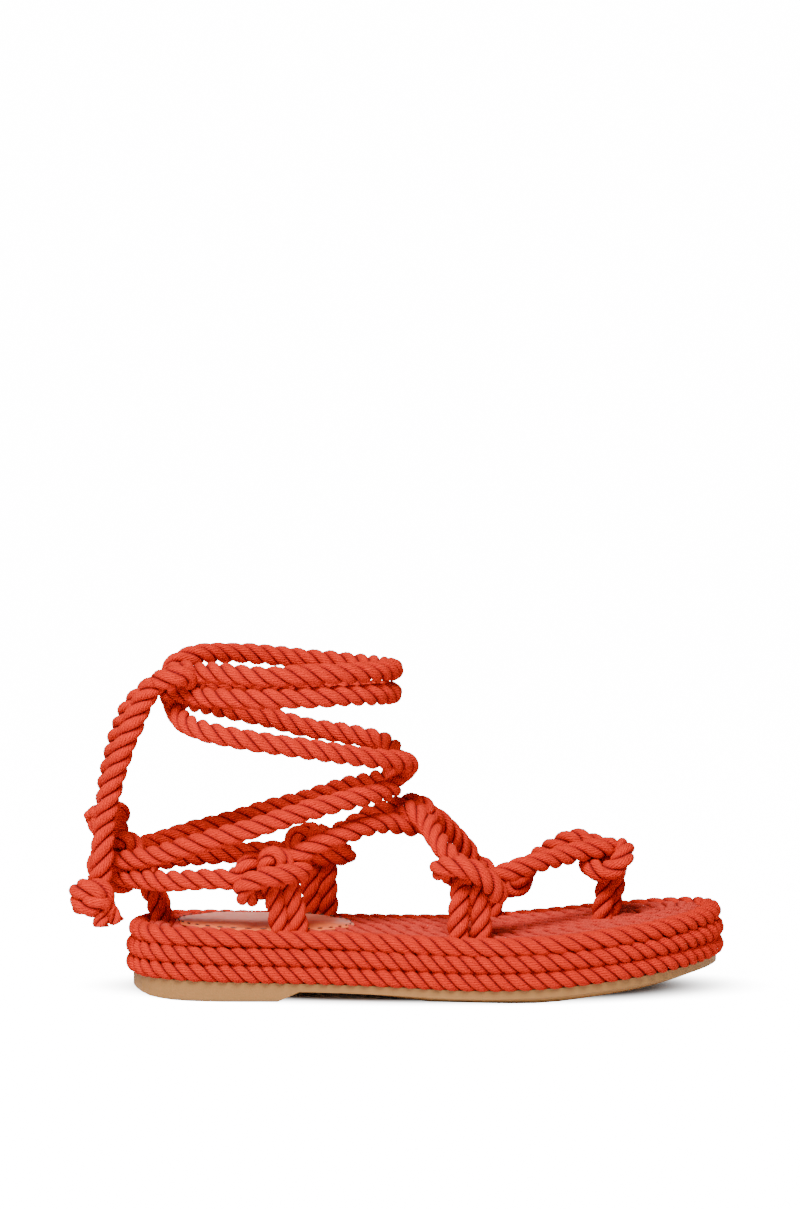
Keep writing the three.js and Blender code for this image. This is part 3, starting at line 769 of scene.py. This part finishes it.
TIES = {
    "lateral": ("inner_tie", "knot_front"),
    "medial": ("outer_tie", "knot_behind"),
}
bights, cords = [], []
for seed, (side, (tie, bight)) in enumerate(TIES.items()):
    tail = "tie_tail_" + side
    stopper = "stopper_" + side
    rows = ROUTES[tie] + ROUTES[bight] + ROUTES[tail] + ROUTES[stopper]
    line = route_line(rows)
    marks = ROUTES[tie][-1], ROUTES[tail][0], ROUTES[tail][-1]
    leaves, hangs, ends = [nearest(line, row) for row in marks]
    opening = (hangs, hangs + FULLER_WITHIN)
    slack = np.interp(np.arange(len(line)), opening, (1, 1 + TAIL_FULLER))
    rope = LaidRope(line, seed=TIE_SEED + seed, fullness=slack)
    dress(rope.piece(tie, 0, leaves + 1), "strap_rope", "ankle_ties")
    bights.append(rope.piece(bight, leaves, hangs + 1))
    strands = frayed_strands(rope, side + "_strand_", STRAND_SEED + 3 * seed)
    whole = joined(stopper, [rope.piece(stopper, ends), *strands])
    knot = dress(whole, "strap_rope", "stopper_knot_" + side)
    hanging = dress(rope.piece(side + "_tail", hangs, ends + 1), "strap_rope", tail)
    cords.append((hanging, rope.line[hangs : ends + 1], [knot]))

tie_knot = dress(joined("tie_bights", bights), "strap_rope", "tie_knot")
cords[0][2].append(tie_knot)
for hanging, path, pieces in cords:
    print(hanging.name, "hangs", round(line_length(path)), "mm")

# %% [markdown]
# ## The upper
#
# Six short loops stand in the sole, and two ropes run through them, one over the toes and one round
# the foot. Each is a rope of its own here, because in the real sandal each one is.

# %% Upper
UPPER = ["front_rope", "rear_rope", *[name for name in ROUTES if name.endswith("_loop")]]
UPPER_SEED = 30

for seed, name in enumerate(UPPER):
    rope = LaidRope(route_line(ROUTES[name]), seed=UPPER_SEED + seed)
    dress(rope.piece(name), "strap_rope", "upper_straps")
    print(name, "is", round(line_length(rope.line)), "mm long")

# %% [markdown]
# ## Rings inside the outline
#
# The sole is rope that follows the outline, ring inside ring. A ring is found by moving the outline
# inwards and dropping the points that come too near its other side. The rings leave a gap down the
# middle where the sole is widest, and one short straight length of rope fills it.

# %% Rings inside the outline
RING_STEP = 1.2
RING_SLACK = 0.35


def inner_ring(inset):
    """The outline moved inwards, without the parts that would cross."""
    plan = outline[:-1, :2]
    along = directions(plan, closed=True)
    moved = plan + np.stack([-along[:, 1], along[:, 0]], axis=1) * inset
    gaps = np.linalg.norm(moved[:, None] - plan[None], axis=2).min(axis=1)
    kept = moved[gaps > inset - RING_SLACK]
    ring = np.column_stack([kept, np.zeros(len(kept))])
    return even_steps(np.concatenate([ring, ring[:1]]), RING_STEP)


def coil_core(inset):
    """The short middle line where the sole is wider than its rings."""
    plan = outline[:-1, :2]
    x = np.arange(0.1, 0.95, 0.01) * SOLE_LENGTH
    inner = plan[plan[:, 1] > 0]
    outer = plan[plan[:, 1] < 0]
    far = np.interp(x, *inner[inner[:, 0].argsort()].T)
    near = np.interp(x, *outer[outer[:, 0].argsort()].T)
    wide = (far - near) / 2 > inset
    x = x[wide]
    middle = (far + near)[wide] / 2
    return even_steps(np.stack([x, middle, bed_height(x) - ROW_PITCH / 2], axis=1), RING_STEP)


# %% [markdown]
# ## The two lower rows
#
# The stitching pulls the rows down hard, so each is flatter than a free rope, and its strands are
# laid closer. Painted shade darkens the seam where two rows meet.

# %% The two lower rows
EDGE_INSET = 3.7
PRESSED = ROW_PITCH / 2 + 0.9
TIGHT_LAY = 18.8
ROW_SEED = 70


def sole_rope(ring, height, above, seed, lay=LAY_LENGTH, creases=()):
    """One ring of rope in the sole, with its middle line at a height and a neighbour above."""
    ring[:, 2] = height
    flats = (PRESSED, above)
    return LaidRope(ring, closed=True, flats=flats, seed=seed, lay=lay, creases=creases)


for row, name in enumerate(("coil_lower", "coil_middle")):
    ring = inner_ring(EDGE_INSET)
    height = seat_height(ring[:, 0]) + (row + 0.5) * ROW_PITCH
    # Both seams of each lower row get painted shade.
    laid = sole_rope(ring, height, PRESSED, ROW_SEED + row, TIGHT_LAY, creases=(-1, 1))
    dress(laid.piece(name + "_rope"), "sole_rope", name)
print("rope row:", round(line_length(ring)), "mm round")

# %% [markdown]
# ## The top row and the bed
#
# The top row lies a little further in, and nothing presses it from above except beside the heel
# pad, whose rim lies on it. The bed is more of the same rope in rings. A foot has trodden it, so it
# wears the paler cotton.

# %% The top row and the bed
TOP_INSET = 1.2
RING_PITCH = 8.1
RING_COUNT = 5
CORE_PLACE = RING_COUNT - 0.4
PAD_SPAN = (0.03, 0.12, 0.36, 0.5)
PAD_SIDE = 3.4
FREE = 6
RING_SEED = 80
CORE_SEED = 90

edge = inner_ring(EDGE_INSET + TOP_INSET)
height = seat_height(edge[:, 0]) + (ROW_COUNT - 0.5) * ROW_PITCH
beside_pad = np.interp(edge[:, 0] / SOLE_LENGTH, PAD_SPAN, (FREE, PAD_SIDE, PAD_SIDE, FREE))
above = np.where(edge[:, 1] < 0, beside_pad, FREE)[:-1, None]
rings = [sole_rope(edge, height, above, RING_SEED).piece("edge_ring")]
for i in range(1, RING_COUNT):
    ring = inner_ring(EDGE_INSET + TOP_INSET + i * RING_PITCH)
    height = bed_height(ring[:, 0]) - ROW_PITCH / 2
    laid = sole_rope(ring, height, PRESSED, RING_SEED + i)
    rings.append(laid.piece("bed_ring_" + str(i), finish=trodden_cotton))
core_line = coil_core(EDGE_INSET + TOP_INSET + CORE_PLACE * RING_PITCH)
core = LaidRope(core_line, flats=(PRESSED, PRESSED), seed=CORE_SEED)
rings.append(core.piece("bed_core", finish=trodden_cotton))
dress(joined("footbed_rope", rings), "sole_rope", "footbed_coil")
print("sole of", ROW_COUNT, "rows and", RING_COUNT, "rings")

# %% [markdown]
# ## The heel pad: the finish
#
# The pad is pale pink leather. Its far part has a soft shine, and its near edge is duller and orange,
# a painted reflection of the rope beside it. A clear coat gives the shine, and the coat's weight and
# the painted orange fade with the place across the pad, so the change is soft.

# %% Leather finish


def leather_finish():
    finish = Finish("pad_leather", Coat_Roughness=0.2, Specular_IOR_Level=0.12)
    plan = finish.plan()
    grain = finish.noise(plan, 2400.0, detail=4.0)
    cloud = finish.noise(plan, 60.0)
    clouded = finish.ramp(cloud, 0.35, 0.7)
    pale = finish.mixed(clouded, (0.86, 0.23, 0.14, 1), (0.94, 0.28, 0.18, 1))
    far = finish.ramp(finish.part_of(plan, "Y") + cloud * 0.006, -0.004, 0.006)
    # Painted reflection: the near edge takes the orange of the rope beside it.
    tone = finish.mixed(far, (0.88, 0.17, 0.055, 1), pale)
    rough = 0.62 - far * 0.25 + grain * 0.12
    relief = finish.bump(grain, 0.05)
    return finish.wear(Base_Color=tone, Coat_Weight=far * 0.25, Roughness=rough, Normal=relief)


leather = leather_finish()
print("leather finish with", len(leather.node_tree.nodes), "nodes")

# %% [markdown]
# ## The heel pad: the shape
#
# A thin oval of leather is glued and stitched over the coils of the heel. It is so thin that the
# ropes below show through as soft waves, and its far side rides up a little, while its near side
# reaches out over the top row. Rings of points make it, because the rim is then one clean ring of
# faces that can be rounded.

# %% Heel pad
PAD_LENGTH = 79
PAD_WIDTH = 42.5
PAD_NEAR = 25
PAD_MIDDLE = 0.23 * SOLE_LENGTH
PAD_RISE = 0.9
PAD_LIFT = 1.2
PAD_THICKNESS = 1.4
PAD_WAVE = 0.18
PAD_SIDES = 120
PAD_PROFILE = [
    # share of the oval, share of the thickness below its top
    (0, 0), (0.2, 0), (0.4, 0), (0.6, 0), (0.75, 0.02), (0.88, 0.08),
    (0.95, 0.2), (0.985, 0.45), (1, 0.75), (0.99, 1), (0.7, 1),
]


def on_pad(share, around):
    """Places on the pad's top, at a share of the way from its middle to its rim."""
    x = PAD_MIDDLE + share * PAD_LENGTH / 2 * np.cos(around)
    y = share * np.sin(around) * np.where(np.sin(around) < 0, PAD_NEAR, PAD_WIDTH / 2)
    z = bed_height(x) + PAD_RISE + PAD_LIFT * np.maximum(y, 0) / PAD_WIDTH * 2
    return np.stack([x, y, z], axis=1)


def heel_pad():
    around = np.linspace(0, 2 * math.pi, PAD_SIDES, endpoint=False)
    points, faces = [], []
    for share, drop in PAD_PROFILE:
        ring = on_pad(share, around)
        if drop < 0.5:
            ring[:, 2] += PAD_WAVE * np.cos(2 * math.pi * ring[:, 1] / RING_PITCH)
        ring[:, 2] -= drop * PAD_THICKNESS
        points.extend(ring)
    for i in range(len(PAD_PROFILE) - 1):
        for j in range(PAD_SIDES):
            here = i * PAD_SIDES + j
            beside = i * PAD_SIDES + (j + 1) % PAD_SIDES
            faces.append([here + PAD_SIDES, beside + PAD_SIDES, beside, here])
    return piece_from("heel_pad", metres(points).tolist(), faces, leather)


# %% [markdown]
# ## The stitches
#
# A row of short dark stitches holds the pad near its rim. Each is a small spindle of thread, made as
# real geometry, because a painted line would vanish when the pad is seen from the side.

# %% Stitches round the pad
STITCH_COUNT = 36
STITCH_SHARE = 0.45
STITCH_REACH = 0.965
STITCH_RADIUS = 0.3
STITCH_SIDES = 6
STITCH_TAPER = (0.3, 1, 1, 0.3)


def thread_finish():
    thread = Finish("waxed_thread", Roughness=0.6)
    grain = thread.noise(thread.plan(), 3000.0)
    tone = thread.mixed(grain, (0.09, 0.025, 0.012, 1), (0.20, 0.060, 0.028, 1))
    return thread.wear(Base_Color=tone)


def pad_stitches():
    turns = np.linspace(0, 2 * math.pi, STITCH_SIDES, endpoint=False)
    points, faces = [], []
    for k in range(STITCH_COUNT):
        spread = STITCH_SHARE * np.linspace(-0.5, 0.5, len(STITCH_TAPER))
        middles = on_pad(STITCH_REACH, 2 * math.pi / STITCH_COUNT * (k + spread))
        run = (middles[-1] - middles[0]) * [1, 1, 0]
        side = np.cross(unit(run), UP)
        first = len(points)
        for middle, thick in zip(middles, STITCH_TAPER):
            radius = STITCH_RADIUS * thick
            points.extend(middle + radius * (math.cos(a) * side + math.sin(a) * UP) for a in turns)
        for low in range(first, len(points) - STITCH_SIDES, STITCH_SIDES):
            high = low + STITCH_SIDES
            for j in range(STITCH_SIDES):
                beside = (j + 1) % STITCH_SIDES
                faces.append([low + j, low + beside, high + beside, high + j])
    return piece_from("pad_stitches", metres(points).tolist(), faces, thread_finish())


dress(joined("heel_pad", [heel_pad(), pad_stitches()]), "sock_leather", "heel_sock")
print("stitches round the pad:", STITCH_COUNT)

# %% [markdown]
# ## The rubber sole
#
# Tread sheet and heel block are one moulding, and the solid from the frame has its true shape
# already, so it only needs a finish. The sides are smooth and matt, with a fine mould texture, and
# the lowest edge is painted a little darker, as shade where it meets the floor.

# %% Rubber sole


def rubber_finish():
    finish = Finish("tan_rubber", Roughness=0.62)
    plan = finish.plan()
    speck = finish.noise(plan, 1500.0, detail=3.0)
    cloud = finish.noise(plan, 40.0)
    # Painted shade: the colour darkens in the lowest 1.6 mm, next to the floor.
    clear_of_floor_shade = finish.ramp(finish.part_of(plan, "Z"), 0.0, 0.0016)
    base = finish.mixed(cloud, (0.307, 0.139, 0.034, 1), (0.353, 0.162, 0.042, 1))
    tone = finish.mixed(clear_of_floor_shade * 0.8 + 0.2, (0.16, 0.085, 0.04, 1), base)
    return finish.wear(Base_Color=tone, Normal=finish.bump(speck, 0.08))


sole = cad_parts["outsole"]
sole.data.materials.clear()
sole.data.materials.append(rubber_finish())
print("rubber sole keeps its solid")

# %% [markdown]
# ## The floor
#
# A white sweep carries the sandal and rises behind it, so no horizon shows. White paper looks grey
# in soft light, so the sweep glows, except in a soft oval under the sandal, where the shadow stays.
# The glow is switched off for light that has bounced, so it doesn't light the sandal.

# %% Floor
SWEEP_DEPTH = 1.6
SWEEP_RADIUS = 0.8
SWEEP_HEIGHT = 3.0
SWEEP_HALF = 12.0
SWEEP_FRONT = -9.0
GLOW = 15
SHADOW_MIDDLE = (0.086, 0.012, 0)
SHADOW_STRETCH = (0.93, 2.5)
SHADOW_RIM = (0.088, 0.148)


def paper_finish():
    paper = (0.93, 0.93, 0.93, 1)
    finish = Finish("white_paper", Base_Color=paper, Roughness=0.9, Emission_Strength=GLOW)
    bounced = finish.node("ShaderNodeLightPath", {}, {}, output="Is Diffuse Ray")
    mirrored = finish.node("ShaderNodeLightPath", {}, {}, output="Is Glossy Ray")
    shift = {"operation": "SUBTRACT"}
    centred = finish.node("ShaderNodeVectorMath", shift, {0: finish.plan(), 1: SHADOW_MIDDLE})
    oval = finish.stretched(centred, *SHADOW_STRETCH)
    reach = finish.node("ShaderNodeVectorMath", {"operation": "LENGTH"}, {0: oval}, output="Value")
    lit = finish.ramp(reach, *SHADOW_RIM) ** 2
    seen = (1 - bounced) * (1 - mirrored)
    finish.material.cycles.emission_sampling = "NONE"
    return finish.wear(Emission_Color=finish.mixed(seen * lit, (0, 0, 0, 1), (1, 1, 1, 1)))


def sweep_floor():
    bend = np.linspace(0, math.pi / 2, 17)
    line = [(SWEEP_FRONT, 0.0)]
    for turn in bend:
        rise = SWEEP_RADIUS * (1 - math.cos(turn))
        line.append((SWEEP_DEPTH + SWEEP_RADIUS * math.sin(turn), rise))
    line.append((SWEEP_DEPTH + SWEEP_RADIUS, SWEEP_HEIGHT))
    points = [(x, y, z) for y, z in line for x in (-SWEEP_HALF, SWEEP_HALF)]
    faces = [(2 * i, 2 * i + 1, 2 * i + 3, 2 * i + 2) for i in range(len(line) - 1)]
    piece_from("white_sweep", points, faces, paper_finish())


sweep_floor()
print("white sweep made")

# %% [markdown]
# ## The lights
#
# The photograph has one wide soft light above and in front, a little to the left. A weak light on
# each side and a dim white world keep the far ropes from going black.

# %% Lights
LIGHTS = [
    # name, place, power in watts
    ("key_light", (-0.35, -1.35, 1.68), 85),
    ("left_fill", (-1.6, -0.6, 0.9), 5),
    ("right_fill", (1.8, -0.7, 0.8), 5),
]
LIGHT_SIZE = 1.0
LIGHT_AIM = np.array([0.08, 0.0, 0.05])
WORLD_STRENGTH = 0.16


def soft_light(name, lamp_place, power):
    data = bpy.data.lights.new(name, "AREA")
    data.shape = "DISK"
    data.size = LIGHT_SIZE
    data.energy = power
    lamp = bpy.data.objects.new(name, data)
    lamp.location = lamp_place
    aim = Vector(LIGHT_AIM - np.array(lamp_place))
    lamp.rotation_euler = aim.to_track_quat("-Z", "Y").to_euler()
    bpy.context.scene.collection.objects.link(lamp)


for name, lamp_place, power in LIGHTS:
    soft_light(name, lamp_place, power)

world = bpy.data.worlds.new("studio")
world.use_nodes = True
background = world.node_tree.nodes["Background"]
background.inputs["Color"].default_value = (1, 1, 1, 1)
background.inputs["Strength"].default_value = WORLD_STRENGTH
bpy.context.scene.world = world
print("lights:", len(LIGHTS))
